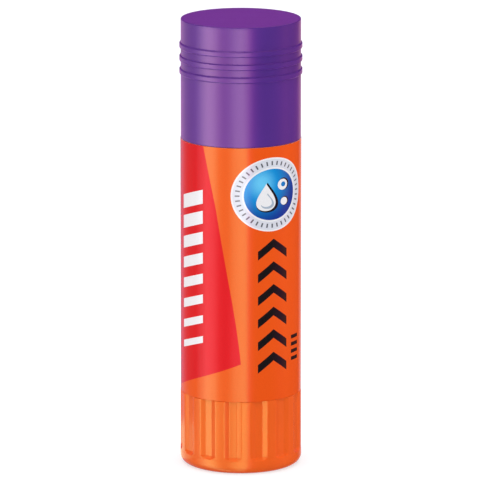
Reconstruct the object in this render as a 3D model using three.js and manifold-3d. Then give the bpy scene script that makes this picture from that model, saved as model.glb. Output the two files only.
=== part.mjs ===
// Glue stick with a screw feed: cap, barrel with its printed label, glue block in a carrier cup,
// lead screw and fluted turning knob. Millimetres, +Z up the stick, origin at the middle of the foot.
// The front of the label faces -Y. Everything stands as stored: cap on, glue wound right down.
import * as THREE from "three";
import { mergeVertices } from "three/addons/utils/BufferGeometryUtils.js";
import Module from "manifold-3d";

const wasm = await Module();
wasm.setup();

// Whole stick
const totalHeight = 98.2;
const capHeight = 26.0;
const roundFacets = 48;

// Turning knob, whose ribs stand out from the barrel above it
const knobHeight = 16.2;
const knobRibStandout = 0.3;
const knobCollarInset = 0.08;
const knobCollarHeight = 2.95;
const knobTopChamfer = 0.15;
const knobWall = 1.85;
const knobFloorThickness = 1.6;
const footEdgeRadius = 2.0;
const footEdgeSteps = 5;
const footRingWidth = 1.6;
const footRecessDepth = 0.5;
const fluteCount = 14;
const firstFluteAngle = -6.3;
const fluteAngle = 13.6;
const fluteDepth = 0.58;
const fluteRunout = 0.8;
const fluteFacets = 24;
const hubRadius = 5.2;
const socketDepth = 10.0;

// Barrel
const barrelRadius = 13.0;
const barrelEdgeChamfer = 0.12;
const neckHeight = 13.8;
const neckWall = 0.9;
const neckLipChamfer = 0.3;
const sealBeadHeight = 0.1;
const sealBeadWidth = 0.9;
const sealBeadPlaces = [3.2, 9.6];
const barrelFloorHeight = 2.3;
const barrelFloorThickness = 1.6;
const spigotLength = 5.8;
const spigotWall = 1.2;
const snapBeadHeight = 0.3;
const snapBeadWidth = 1.4;
const snapBeadPlace = 1.0;
const railCount = 2;
const railHeight = 0.7;
const railWidth = 1.8;
const railTopSetback = 1.5;

// Label
const labelThickness = 0.13;
const labelInset = 0.08;

// Cap, whose rim is flush with the barrel
const capDraft = 0.1;
const capWall = 1.0;
const capCrownThickness = 1.3;
const capEdgeRadius = 0.2;
const capEdgeSteps = 3;
const capRimChamfer = 0.12;
const capInnerFillet = 0.5;
const ringCount = 3;
const ringTopDistance = 5.2;
const ringPitch = 2.8;
const ringWidth = 1.16;
const ringHeight = 0.31;
const ringSlope = 0.16;

// Lead screw, with a left-hand thread of two starts
const threadMajorRadius = 3.3;
const threadMinorRadius = 2.4;
const threadLead = 6.0;
const threadStarts = 2;
const threadCrestWidth = 0.7;
const threadFlankWidth = 0.6;
const threadFacets = 24;
const screwTopSetback = 5.1;
const screwTipChamfer = 1.0;
const journalRadius = 3.6;
const flangeRadius = 5.6;
const flangeThickness = 1.2;
const tailSide = 4.4;

// Glue carrier and glue
const carrierHeight = 9.0;
const carrierWall = 0.8;
const carrierFloorThickness = 1.6;
const carrierHubRadius = 4.9;
const carrierHubHeight = 8.0;
const carrierLipChamfer = 0.3;
const glueTopSetback = 1.5;
const glueEdgeChamfer = 0.8;

// Clearances
const seamGap = 0.06;
const shoulderGap = 0.1;
const capFitGap = 0.2;
const spigotGap = 0.15;
const journalGap = 0.3;
const flangeGap = 0.2;
const hubEndGap = 0.4;
const socketGap = 0.15;
const slideGap = 0.15;
const glueBoreGap = 0.25;
const threadGap = 0.2;
const seatGap = 0.05;
const filmGap = 0.02;

// Radii that follow from the sizes above
const capInnerRadius = barrelRadius - capWall;
const neckRadius = capInnerRadius - capFitGap;
const boreRadius = neckRadius - neckWall;
const glueRadius = boreRadius - slideGap;
const knobRibRadius = barrelRadius + knobRibStandout;
const knobCollarRadius = knobRibRadius - knobCollarInset;
const knobWallRadius = knobRibRadius - knobWall;
const spigotRadius = knobWallRadius - spigotGap;

// Heights that follow from the sizes above
const capRimZ = totalHeight - capHeight;
const shoulderZ = capRimZ - shoulderGap;
const neckTopZ = shoulderZ + neckHeight;
const seamZ = knobHeight;
const knobTopZ = seamZ - seamGap;
const floorZ = seamZ + barrelFloorHeight;
const floorTopZ = floorZ + barrelFloorThickness;
const hubTopZ = floorZ - hubEndGap;
const flangeZ = floorTopZ + flangeGap;
const flangeTopZ = flangeZ + flangeThickness;
const carrierZ = flangeTopZ + flangeGap;
const glueTopZ = neckTopZ - glueTopSetback;
const screwTopZ = glueTopZ - screwTopSetback;

// How far a cutting or joining solid runs past the surface it works on
const overrun = 1.0;

// Corners nearer than this are one corner
const mergeDistance = 1e-4;

// A three.js geometry as a solid that can be cut and joined
function solidFrom(geometry) {
  const bare = geometry.clone();
  bare.deleteAttribute("normal");
  bare.deleteAttribute("uv");
  const merged = mergeVertices(bare, mergeDistance);
  return new wasm.Manifold(
    new wasm.Mesh({
      numProp: 3,
      vertProperties: merged.attributes.position.array,
      triVerts: new Uint32Array(merged.index.array),
    }),
  );
}

function geometryFrom(solid) {
  const mesh = solid.getMesh();
  const geometry = new THREE.BufferGeometry();
  geometry.setAttribute("position", new THREE.BufferAttribute(mesh.vertProperties, 3));
  geometry.setIndex(new THREE.BufferAttribute(mesh.triVerts, 1));
  geometry.computeVertexNormals();
  return geometry;
}

// Turns a profile of [radius, height] pairs round the stick's axis
function turned(profile, facets = roundFacets) {
  const points = profile.map(([radius, height]) => new THREE.Vector2(radius, height));
  return new THREE.LatheGeometry(points, facets).rotateX(Math.PI / 2);
}

// Points of a rounded edge between two directions, given in degrees from the outward one
function roundedEdge(centreRadius, centreHeight, edgeRadius, fromAngle, toAngle, steps) {
  return Array.from({ length: steps + 1 }, (_, i) => {
    const angle = THREE.MathUtils.degToRad(fromAngle + ((toAngle - fromAngle) * i) / steps);
    return [centreRadius + edgeRadius * Math.cos(angle), centreHeight + edgeRadius * Math.sin(angle)];
  });
}

// A low bead with sloped sides, for a wall at the given radius that is drawn upwards
function bead(wallRadius, lowerHeight, width, height, slope) {
  return [
    [wallRadius, lowerHeight],
    [wallRadius + height, lowerHeight + slope],
    [wallRadius + height, lowerHeight + width - slope],
    [wallRadius, lowerHeight + width],
  ];
}

// A box that stands on height bottom at a distance from the axis, turned round it by an angle
function standingBox(sizeX, sizeY, bottom, top, distance = 0, angle = 0) {
  const box = new THREE.BoxGeometry(sizeX, sizeY, top - bottom);
  box.translate(distance, 0, (bottom + top) / 2);
  return box.rotateZ(angle);
}

// A long threaded rod with flat crests and roots. Its grid lines follow the helix: one turn round
// the rod lands one lead lower, on the same thread. Both ends close on the axis with a fan, and
// stand a lead or more outside the height that is asked for, so that they can be cut off.
function threadedRod(bottom, top, gap) {
  const pitch = threadLead / threadStarts;
  const crest = threadCrestWidth + 2 * gap;
  const root = pitch - crest - 2 * threadFlankWidth;
  const rows = [
    [-crest / 2, threadMajorRadius + gap],
    [crest / 2, threadMajorRadius + gap],
    [crest / 2 + threadFlankWidth, threadMinorRadius + gap],
    [crest / 2 + threadFlankWidth + root, threadMinorRadius + gap],
  ];
  const rowsPerLead = rows.length * threadStarts;
  const firstPitch = Math.floor(bottom / pitch) - threadStarts;
  const lastPitch = Math.ceil(top / pitch) + 2 * threadStarts;
  const rowTotal = (lastPitch - firstPitch) * rows.length;
  const vertices = [];
  const columns = [];

  function addVertex(column, row) {
    const angle = (2 * Math.PI * column) / threadFacets;
    const [offset, radius] = rows[row % rows.length];
    const pitchIndex = firstPitch + Math.floor(row / rows.length);
    const height = pitchIndex * pitch + offset - (threadLead * column) / threadFacets;
    vertices.push(radius * Math.cos(angle), radius * Math.sin(angle), height);
    return vertices.length / 3 - 1;
  }

  for (let column = 0; column < threadFacets; column += 1) {
    columns.push(Array.from({ length: rowTotal }, (_, row) => addVertex(column, row)));
  }
  // The last column is the first one again, one lead lower
  columns.push(
    Array.from({ length: rowTotal }, (_, row) =>
      row < rowsPerLead ? addVertex(threadFacets, row) : columns[0][row - rowsPerLead],
    ),
  );

  const triangles = [];
  for (let column = 0; column < threadFacets; column += 1) {
    const left = columns[column];
    const right = columns[column + 1];
    for (let row = 0; row + 1 < rowTotal; row += 1) {
      triangles.push(left[row], right[row], right[row + 1]);
      triangles.push(left[row], right[row + 1], left[row + 1]);
    }
  }

  const lowerLoop = [
    ...columns.map((column) => column[0]),
    ...columns[threadFacets].slice(1, rowsPerLead + 1),
  ];
  const upperLoop = [
    ...columns.map((column) => column[rowTotal - 1]),
    ...columns[0].slice(rowTotal - rowsPerLead),
  ];
  closeWithFan(lowerLoop, true);
  closeWithFan(upperLoop, false);

  function closeWithFan(loop, facesDown) {
    vertices.push(0, 0, vertices[loop[0] * 3 + 2]);
    const centre = vertices.length / 3 - 1;
    for (let i = 0; i + 1 < loop.length; i += 1) {
      const pair = facesDown ? [loop[i + 1], loop[i]] : [loop[i], loop[i + 1]];
      triangles.push(centre, ...pair);
    }
  }

  const geometry = new THREE.BufferGeometry();
  geometry.setAttribute("position", new THREE.Float32BufferAttribute(vertices, 3));
  geometry.setIndex(triangles);
  return geometry;
}

function makeTurningKnob() {
  const footRadius = knobCollarRadius - footEdgeRadius;
  const recessRadius = footRadius - footRingWidth;
  const groove = bead(
    knobWallRadius,
    seamZ - spigotLength + snapBeadPlace - spigotGap,
    snapBeadWidth + 2 * spigotGap,
    snapBeadHeight,
    snapBeadHeight,
  );
  const body = solidFrom(
    turned([
      [0, footRecessDepth],
      [recessRadius - footRecessDepth, footRecessDepth],
      [recessRadius, 0],
      ...roundedEdge(footRadius, footEdgeRadius, footEdgeRadius, -90, 0, footEdgeSteps),
      [knobCollarRadius, knobCollarHeight],
      [knobRibRadius, knobCollarHeight + (knobRibRadius - knobCollarRadius)],
      [knobRibRadius, knobTopZ - knobTopChamfer],
      [knobRibRadius - knobTopChamfer, knobTopZ],
      [knobWallRadius, knobTopZ],
      ...groove.reverse(),
      [knobWallRadius, footRecessDepth + knobFloorThickness],
      [hubRadius, footRecessDepth + knobFloorThickness],
      [hubRadius, hubTopZ],
      [0, hubTopZ],
    ]),
  );
  const socketSide = tailSide + 2 * socketGap;
  const socket = solidFrom(
    standingBox(socketSide, socketSide, hubTopZ - socketDepth, hubTopZ + overrun),
  );
  return geometryFrom(body.subtract(socket).subtract(makeFlutes()));
}

// Round-bottomed flutes down the knob's side, open at the seam and running out above the collar
function makeFlutes() {
  const halfAngle = THREE.MathUtils.degToRad(fluteAngle / 2);
  const halfWidth = knobRibRadius * Math.sin(halfAngle);
  const sagitta = fluteDepth - knobRibRadius * (1 - Math.cos(halfAngle));
  const fluteRadius = (halfWidth * halfWidth + sagitta * sagitta) / (2 * sagitta);
  const distance = knobRibRadius - fluteDepth + fluteRadius;
  const cutter = turned(
    [
      [0, knobCollarHeight],
      [fluteRadius - fluteDepth, knobCollarHeight],
      [fluteRadius, knobCollarHeight + fluteRunout],
      [fluteRadius, knobTopZ + overrun],
      [0, knobTopZ + overrun],
    ],
    fluteFacets,
  ).translate(0, -distance, 0);
  const firstAngle = THREE.MathUtils.degToRad(firstFluteAngle);
  let flutes = null;
  for (let i = 0; i < fluteCount; i += 1) {
    const angle = firstAngle + (2 * Math.PI * i) / fluteCount;
    const flute = solidFrom(cutter.clone().rotateZ(angle));
    flutes = flutes ? flutes.add(flute) : flute;
  }
  return flutes;
}

function makeBarrel() {
  const spigotZ = seamZ - spigotLength;
  const seals = sealBeadPlaces.flatMap((place) =>
    bead(neckRadius, shoulderZ + place, sealBeadWidth, sealBeadHeight, sealBeadHeight),
  );
  const profile = [
    [spigotRadius - spigotWall, spigotZ],
    [spigotRadius, spigotZ],
    ...bead(spigotRadius, spigotZ + snapBeadPlace, snapBeadWidth, snapBeadHeight, snapBeadHeight),
    [spigotRadius, seamZ],
    [barrelRadius - barrelEdgeChamfer, seamZ],
    [barrelRadius, seamZ + barrelEdgeChamfer],
    [barrelRadius, shoulderZ - barrelEdgeChamfer],
    [barrelRadius - barrelEdgeChamfer, shoulderZ],
    [neckRadius, shoulderZ],
    ...seals,
    [neckRadius, neckTopZ - neckLipChamfer],
    [neckRadius - neckLipChamfer, neckTopZ],
    [boreRadius, neckTopZ],
    [boreRadius, floorTopZ],
    [journalRadius + journalGap, floorTopZ],
    [journalRadius + journalGap, floorZ],
    [spigotRadius - spigotWall, floorZ],
    [spigotRadius - spigotWall, spigotZ],
  ];
  let body = solidFrom(turned(profile));
  for (const rail of railBoxes(0, floorTopZ - barrelFloorThickness / 2, neckTopZ - railTopSetback)) {
    body = body.add(rail);
  }
  return geometryFrom(body);
}

// The guide rails in the bore, or with a gap the notches that run along them
function railBoxes(gap, bottom, top) {
  const rooted = (neckRadius - boreRadius) / 2;
  const depth = railHeight + gap + rooted;
  const distance = boreRadius - railHeight - gap + depth / 2;
  return Array.from({ length: railCount }, (_, i) =>
    solidFrom(
      standingBox(depth, railWidth + 2 * gap, bottom, top, distance, (2 * Math.PI * i) / railCount),
    ),
  );
}

function makeLabel() {
  const inner = barrelRadius + filmGap;
  const bottom = seamZ + labelInset;
  const top = shoulderZ - labelInset;
  return turned([
    [inner, bottom],
    [inner + labelThickness, bottom],
    [inner + labelThickness, top],
    [inner, top],
    [inner, bottom],
  ]);
}

// Drawn from the rim, which is at height 0
function makeCap() {
  const outerAt = (height) => barrelRadius - (capDraft * height) / capHeight;
  const crownZ = capHeight - capCrownThickness;
  const rings = [];
  for (let i = ringCount - 1; i >= 0; i -= 1) {
    const lower = capHeight - ringTopDistance - i * ringPitch - ringWidth;
    rings.push(...bead(outerAt(lower), lower, ringWidth, ringHeight, ringSlope));
  }
  const edgeCentre = outerAt(capHeight) - capEdgeRadius;
  return turned([
    [0, crownZ],
    [capInnerRadius - capInnerFillet, crownZ],
    [capInnerRadius, crownZ - capInnerFillet],
    [capInnerRadius, 0],
    [barrelRadius - capRimChamfer, 0],
    [barrelRadius, capRimChamfer],
    ...rings,
    ...roundedEdge(edgeCentre, capHeight - capEdgeRadius, capEdgeRadius, 0, 90, capEdgeSteps),
    [0, capHeight],
  ]);
}

function makeLeadScrew() {
  const rod = solidFrom(threadedRod(flangeZ, screwTopZ, 0));
  const trim = solidFrom(
    turned([
      [0, flangeZ + flangeThickness / 2],
      [threadMajorRadius + overrun, flangeZ + flangeThickness / 2],
      [threadMajorRadius + overrun, screwTopZ - screwTipChamfer - overrun],
      [threadMajorRadius - screwTipChamfer, screwTopZ],
      [0, screwTopZ],
    ]),
  );
  const flange = solidFrom(
    turned([
      [0, hubTopZ + socketGap],
      [journalRadius, hubTopZ + socketGap],
      [journalRadius, flangeZ],
      [flangeRadius, flangeZ],
      [flangeRadius, flangeTopZ],
      [0, flangeTopZ],
    ]),
  );
  const tail = solidFrom(
    standingBox(tailSide, tailSide, hubTopZ - socketDepth + hubEndGap, floorZ),
  );
  return geometryFrom(rod.intersect(trim).add(flange).add(tail));
}

function makeGlueCarrier() {
  const outer = glueRadius;
  const body = solidFrom(
    turned([
      [0, carrierZ],
      [outer - carrierLipChamfer, carrierZ],
      [outer, carrierZ + carrierLipChamfer],
      [outer, carrierZ + carrierHeight],
      [outer - carrierWall, carrierZ + carrierHeight],
      [outer - carrierWall, carrierZ + carrierFloorThickness],
      [carrierHubRadius, carrierZ + carrierFloorThickness],
      [carrierHubRadius, carrierZ + carrierHubHeight],
      [0, carrierZ + carrierHubHeight],
    ]),
  );
  const nutThread = solidFrom(threadedRod(carrierZ, carrierZ + carrierHubHeight, threadGap));
  let carrier = body.subtract(nutThread);
  for (const notch of railBoxes(slideGap, carrierZ - overrun, carrierZ + carrierHeight + overrun)) {
    carrier = carrier.subtract(notch);
  }
  return geometryFrom(carrier);
}

function makeGlue() {
  const cupFloorZ = carrierZ + carrierFloorThickness + seatGap;
  const cupTopZ = carrierZ + carrierHeight + seatGap;
  const hubTop = carrierZ + carrierHubHeight + seatGap;
  const cupRadius = glueRadius - carrierWall - seatGap;
  const screwHoleRadius = threadMajorRadius + glueBoreGap;
  const screwHoleTopZ = screwTopZ + glueBoreGap;
  let glue = solidFrom(
    turned([
      [0, screwHoleTopZ],
      [screwHoleRadius, screwHoleTopZ],
      [screwHoleRadius, hubTop],
      [carrierHubRadius + seatGap, hubTop],
      [carrierHubRadius + seatGap, cupFloorZ],
      [cupRadius, cupFloorZ],
      [cupRadius, cupTopZ],
      [glueRadius, cupTopZ],
      [glueRadius, glueTopZ - glueEdgeChamfer],
      [glueRadius - glueEdgeChamfer, glueTopZ],
      [0, glueTopZ],
    ]),
  );
  for (const notch of railBoxes(slideGap, carrierZ, glueTopZ + overrun)) {
    glue = glue.subtract(notch);
  }
  return geometryFrom(glue);
}

// Materials, with the colours of the real stick
const orangePlastic = new THREE.MeshStandardMaterial({ color: 0xf26a2c, roughness: 0.35, metalness: 0 });
const printedFilm = new THREE.MeshStandardMaterial({ color: 0xf4722f, roughness: 0.25, metalness: 0 });
const violetPlastic = new THREE.MeshStandardMaterial({ color: 0x6a3c9b, roughness: 0.35, metalness: 0 });
const whitePlastic = new THREE.MeshStandardMaterial({ color: 0xf1f0ec, roughness: 0.45, metalness: 0 });
const glueMass = new THREE.MeshStandardMaterial({ color: 0xf3f0e6, roughness: 0.55, metalness: 0 });

function piece(name, geometry, material, height = 0) {
  const mesh = new THREE.Mesh(geometry, material);
  mesh.name = name;
  mesh.position.z = height;
  return mesh;
}

const body = new THREE.Group();
body.add(piece("barrel", makeBarrel(), orangePlastic));
body.add(piece("label", makeLabel(), printedFilm));

const feed = new THREE.Group();
feed.add(piece("turning_knob", makeTurningKnob(), orangePlastic));
feed.add(piece("lead_screw", makeLeadScrew(), whitePlastic));
feed.add(piece("glue_carrier", makeGlueCarrier(), whitePlastic));
feed.add(piece("glue", makeGlue(), glueMass));

const glueStick = new THREE.Group();
glueStick.add(body, feed);
glueStick.add(piece("cap", makeCap(), violetPlastic, capRimZ));

export default glueStick;
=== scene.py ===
import math
from functools import partial

import bmesh
import bpy
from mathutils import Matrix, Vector
from mathutils.geometry import delaunay_2d_cdt


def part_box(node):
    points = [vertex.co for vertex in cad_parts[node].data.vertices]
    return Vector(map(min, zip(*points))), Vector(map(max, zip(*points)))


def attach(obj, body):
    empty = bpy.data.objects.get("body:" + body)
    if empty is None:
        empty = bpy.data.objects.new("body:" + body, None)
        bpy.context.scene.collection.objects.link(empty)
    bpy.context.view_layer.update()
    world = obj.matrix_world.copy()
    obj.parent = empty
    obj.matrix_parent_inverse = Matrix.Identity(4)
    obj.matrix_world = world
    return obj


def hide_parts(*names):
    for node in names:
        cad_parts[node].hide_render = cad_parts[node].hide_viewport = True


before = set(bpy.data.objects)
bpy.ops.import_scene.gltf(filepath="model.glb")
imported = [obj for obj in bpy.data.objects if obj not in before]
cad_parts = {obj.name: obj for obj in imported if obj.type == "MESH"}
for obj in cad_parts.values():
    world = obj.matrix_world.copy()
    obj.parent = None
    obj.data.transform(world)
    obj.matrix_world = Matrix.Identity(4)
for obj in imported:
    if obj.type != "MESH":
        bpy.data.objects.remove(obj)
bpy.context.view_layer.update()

mm = 0.001
scene = bpy.context.scene


# Small helpers for node trees

def setInputs(tree, node, inputs):  # a socket is linked, and anything else is set on the node's own input
    for socket, value in inputs.items():
        if isinstance(value, bpy.types.NodeSocket):
            tree.links.new(value, node.inputs[socket])
        else:
            node.inputs[socket].default_value = value


def addNode(tree, kind, inputs=None, **settings):
    node = tree.nodes.new(kind)
    for name, value in settings.items():
        setattr(node, name, value)
    setInputs(tree, node, inputs or {})
    return node


def calc(tree, operation, first, second=0.0):
    return addNode(tree, "ShaderNodeMath", {0: first, 1: second}, operation=operation).outputs[0]


def sums(tree):  # the four kinds of sum, each as a function of two values
    return [partial(calc, tree, operation) for operation in ("ADD", "SUBTRACT", "MULTIPLY", "DIVIDE")]


def remap(tree, value, low, high, newLow=0, newHigh=1, kind="LINEAR"):
    sockets = {"Value": value, "From Min": low, "From Max": high, "To Min": newLow, "To Max": newHigh}
    return addNode(tree, "ShaderNodeMapRange", sockets, interpolation_type=kind).outputs["Result"]


smoothly = partial(remap, kind="SMOOTHSTEP")


def blend(tree, factor, first, second, kind="MIX"):
    inputs = {0: factor, 6: first, 7: second}
    return addNode(tree, "ShaderNodeMix", inputs, data_type="RGBA", blend_type=kind).outputs[2]


def scaled(tree, vector, factor):
    return addNode(tree, "ShaderNodeVectorMath", {0: vector, 3: factor}, operation="SCALE").outputs[0]


def separate(tree, vector):
    return addNode(tree, "ShaderNodeSeparateXYZ", {0: vector}).outputs


def combine(tree, x=0.0, y=0.0, z=0.0):
    return addNode(tree, "ShaderNodeCombineXYZ", {0: x, 1: y, 2: z}).outputs[0]


def newMaterial(name):
    material = bpy.data.materials.new(name)
    material.use_nodes = True
    return material, material.node_tree, material.node_tree.nodes["Principled BSDF"]


# Small helpers for meshes and profiles

def placeObject(name, mesh):
    item = bpy.data.objects.new(name, mesh)
    scene.collection.objects.link(item)
    return item


def finishMesh(shape, name):
    mesh = bpy.data.meshes.new(name)
    shape.to_mesh(mesh)
    shape.free()
    return mesh


def reshape(mesh, edit):
    shape = bmesh.new()
    shape.from_mesh(mesh)
    edit(shape)
    shape.to_mesh(mesh)
    shape.free()


def faceOut(shape):
    bmesh.ops.recalc_face_normals(shape, faces=shape.faces)


def bakedMesh(item):  # the object's mesh as its modifier leaves it, without the object
    graph = bpy.context.evaluated_depsgraph_get()
    mesh = bpy.data.meshes.new_from_object(item.evaluated_get(graph))
    bpy.data.objects.remove(item)
    return mesh


def squareBar(side, low, high):
    shape = bmesh.new()
    bmesh.ops.create_cube(shape, size=1)
    for vertex in shape.verts:
        vertex.co.x *= side
        vertex.co.y *= side
        vertex.co.z = high if vertex.co.z > 0 else low
    return shape


def arc(radius, height, size, start, end, steps=5):  # a rounded corner about (radius, height), in degrees
    angles = [math.radians(start + (end - start) * i / steps) for i in range(steps + 1)]
    return [(radius + size * math.cos(a), height + size * math.sin(a)) for a in angles]


def rows(radiusLow, low, radiusHigh, high, count):  # evenly spaced points up a straight wall
    return [
        (radiusLow + (radiusHigh - radiusLow) * i / count, low + (high - low) * i / count)
        for i in range(count + 1)
    ]


# Stage: camera, soft white room, reflecting panels and pale floor

stage = {
    "distance": 1140.06 * mm,  # level distance from the stick to the camera
    "height": 296.0 * mm,
    "aside": -0.19 * mm,
    "tilt": 12.212,  # degrees down
    "lens": 402.8,
    "sensor": 36,
    "clip": (0.05, 30),
    "floorRadius": 6.0,
    "floorSides": 96,
    "floorRoughness": 0.9,
    "floorColour": (0.33, 0.41, 0.48, 1),  # evens out the lamp's warmth
    "floorGlow": 0.58,  # lifts the floor to plain white
    "backdrop": (1, 1, 1, 1),
    "skyLow": 0.92,  # what the matt side of each surface gets from the room, level and from above
    "skyHigh": 1.15,
    "sideSky": (0.85, 1.46),  # the same room's share at front and back, and at the sides
    "lamp": (1.8, 1.1, 0.7),  # straight above and warm, for the matt side only
    "lampFade": (0.74, 0.84),  # each fade is between two heights of a ray's direction, -1 to 1
    "aboveGloss": (0.09, 0.0, 0.19, 1),  # dim violet that the cap's top shows when seen from low down
    "aboveFade": (-0.04, 0.08),
    "underfootShare": 0.45,  # how much of the panels' light gloss finds straight down, for views from high up
    "underfootFade": (-0.8, -0.4),
    "overheadShare": 0.5,  # and how much of it goes on overhead
    "overheadFade": (0.35, 0.55),
    "sheenPlace": (-27 * mm, 12 * mm, 0.05 * mm),  # the lit floor that the foot's gloss shows on the left
    "sheenRadius": 18 * mm,
    "sheenSides": 64,
    "sheenColour": (0.9, 0.82, 0.58, 1),
    "sheenGlow": 1.65,
}

# The room round the stick as gloss sees it: degrees from the front, brightness and tint
white, ember, mauve = (1, 0.91, 0.94), (1, 0.62, 0.58), (1, 0.68, 0.9)
blush, rose, flame, sand = (1, 0.36, 0.75), (1, 0.1, 0.55), (1, 0.22, 0.15), (1, 0.62, 0.5)
panels = [
    (-180, 0.5, mauve), (-165, 0.5, mauve), (-148, 0.75, mauve), (-118, 0.6, sand), (-95, 0.9, sand),
    (-80, 3.5, white), (-68, 7.4, white), (-54, 7.0, white), (-42, 4.0, ember), (-32, 2.6, ember),
    (-24, 3.1, ember), (-12, 5.3, white), (0, 6.8, white), (9, 6.8, white), (14, 5.2, blush), (19, 2.4, rose),
    (25, 0.5, rose), (36, 0.0, rose), (60, 0.0, rose), (82, 0.4, rose), (95, 0.9, flame), (108, 0.3, flame),
    (144, 0.25, flame), (158, 0.9, ember), (180, 0.5, mauve),
]


def buildCamera():
    data = bpy.data.cameras.new("camera")
    data.lens, data.sensor_width = stage["lens"], stage["sensor"]
    data.clip_start, data.clip_end = stage["clip"]
    camera = placeObject("camera", data)
    camera.location = (stage["aside"], -stage["distance"], stage["height"])
    camera.rotation_euler = (math.radians(90 - stage["tilt"]), 0, 0)
    scene.camera = camera


def buildRoom():
    world = bpy.data.worlds.new("room")
    world.use_nodes = True
    world.cycles.sampling_method = "NONE"  # matt and glossy rays see different rooms
    scene.world = world
    tree = world.node_tree
    tree.nodes.clear()
    times = partial(calc, tree, "MULTIPLY")
    x, y, z = separate(tree, addNode(tree, "ShaderNodeTexCoord").outputs["Generated"])

    ramp = addNode(tree, "ShaderNodeValToRGB", {
        0: remap(tree, calc(tree, "ARCTAN2", x, times(y, -1)), -math.pi, math.pi),
    })
    brightest = max(level for _, level, _ in panels)
    stops = ramp.color_ramp.elements
    while len(stops) < len(panels):
        stops.new(0.5)
    for stop, (degrees, level, tint) in zip(stops, panels):
        stop.position = (degrees + 180) / 360
        stop.color = tuple(level / brightest * part for part in tint) + (1,)
    level = scaled(tree, ramp.outputs["Color"], brightest)
    under = scaled(tree, level, smoothly(tree, z, *stage["underfootFade"], stage["underfootShare"]))
    gloss = blend(tree, smoothly(tree, z, *stage["aboveFade"]), under, stage["aboveGloss"])
    overhead = scaled(tree, level, stage["overheadShare"])
    gloss = blend(tree, smoothly(tree, z, *stage["overheadFade"]), gloss, overhead)

    sky = times(remap(tree, z, 0, 1, stage["skyLow"], stage["skyHigh"]), calc(tree, "GREATER_THAN", z))
    sky = times(sky, remap(tree, times(x, x), 0, 1, *stage["sideSky"]))
    lamp = scaled(tree, stage["lamp"], smoothly(tree, z, *stage["lampFade"]))
    matt = addNode(tree, "ShaderNodeVectorMath", {0: sky, 1: lamp}, operation="ADD").outputs[0]

    rays = addNode(tree, "ShaderNodeLightPath").outputs
    seen = blend(tree, rays["Is Glossy Ray"], matt, gloss)
    seen = blend(tree, rays["Is Camera Ray"], seen, stage["backdrop"])
    background = addNode(tree, "ShaderNodeBackground", {"Color": seen, "Strength": 1.0})
    addNode(tree, "ShaderNodeOutputWorld", {"Surface": background.outputs[0]})
    scene.view_settings.view_transform = "Standard"


def addDisc(name, place, radius, sides, colour, glowColour, glow):
    shape = bmesh.new()
    bmesh.ops.create_circle(shape, cap_ends=True, radius=radius, segments=sides)
    bmesh.ops.translate(shape, verts=shape.verts, vec=place)
    disc = placeObject(name, finishMesh(shape, name))
    material, tree, shader = newMaterial(name)
    setInputs(tree, shader, {
        "Base Color": colour, "Roughness": stage["floorRoughness"], "Specular IOR Level": 0,
        "Emission Color": glowColour, "Emission Strength": glow,
    })
    material.cycles.emission_sampling = "NONE"
    disc.data.materials.append(material)
    return disc


def buildFloor():
    floor = addDisc(
        "floor", (0, 0, 0), stage["floorRadius"], stage["floorSides"], stage["floorColour"], (1, 1, 1, 1),
        stage["floorGlow"])
    floor.visible_glossy = False  # the stick's gloss shows the panels and not the floor


def buildFloorSheen():
    sheen = addDisc(
        "floorSheen", stage["sheenPlace"], stage["sheenRadius"], stage["sheenSides"], (0, 0, 0, 1),
        stage["sheenColour"], stage["sheenGlow"])
    for ray in ("camera", "diffuse", "transmission", "volume_scatter", "shadow"):
        setattr(sheen, "visible_" + ray, False)


buildCamera()
buildRoom()
buildFloor()
buildFloorSheen()
print("stage ready")


# Materials. Every pattern reads the piece's own Object coordinates, in metres.

wideSpan, midSpan, highSpan = (0.3, 0.7), (0.35, 0.65), (0.45, 0.75)  # stretches of a noise's values


def noise(tree, scale, detail=2.0, stretch=(1, 1, 1)):
    coords = addNode(tree, "ShaderNodeTexCoord").outputs["Object"]
    spread = addNode(tree, "ShaderNodeMapping", {"Vector": coords, "Scale": stretch}).outputs[0]
    return addNode(tree, "ShaderNodeTexNoise", {"Vector": spread, "Scale": scale, "Detail": detail}).outputs[0]


def bumps(tree, *layers):  # layers of (height, depth in metres), coarse first
    normal = None
    for height, depth in layers:
        sockets = {"Height": height, "Distance": depth, "Strength": 1.0}
        if normal:
            sockets["Normal"] = normal
        normal = addNode(tree, "ShaderNodeBump", sockets).outputs[0]
    return normal


def shaded(colour, gain=1):
    return tuple(min(1, c * gain) for c in colour) + (1,)


def mouldedPlastic(name, look):
    material, tree, shader = newMaterial(name)
    drift = noise(tree, look["driftScale"])
    grain = noise(tree, look["grainScale"], 4)
    draw = noise(tree, look["drawScale"], 3, look["drawStretch"])
    deep, pale, speck = (shaded(look["colour"], gain) for gain in look["driftShades"] + (look["grainShade"],))
    colour = blend(tree, remap(tree, drift, *wideSpan), deep, pale)
    colour = blend(tree, remap(tree, grain, *midSpan, 0, look["grainShare"]), colour, speck)
    rough = remap(tree, grain, *wideSpan, *look["rough"])
    rough = calc(tree, "ADD", rough, remap(tree, draw, *highSpan, 0, look["drawRough"]))
    setInputs(tree, shader, {
        "Base Color": colour, "Roughness": rough,
        "Normal": bumps(tree, (drift, look["waveDepth"]), (draw, look["drawDepth"]), (grain, look["grainDepth"])),
        "IOR": look["ior"], "Specular IOR Level": look["specular"], "Specular Tint": shaded(look["glossTint"]),
        "Sheen Weight": look["haze"], "Sheen Roughness": look["hazeRough"], "Sheen Tint": shaded(look["hazeTint"]),
        "Coat Weight": look["coat"], "Coat IOR": look["coatIor"], "Coat Roughness": look["coatRough"],
        "Subsurface Weight": look["depthGlow"], "Subsurface Radius": look["glowRadius"],
        "Subsurface Scale": look["glowScale"],
    })
    return material


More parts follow.
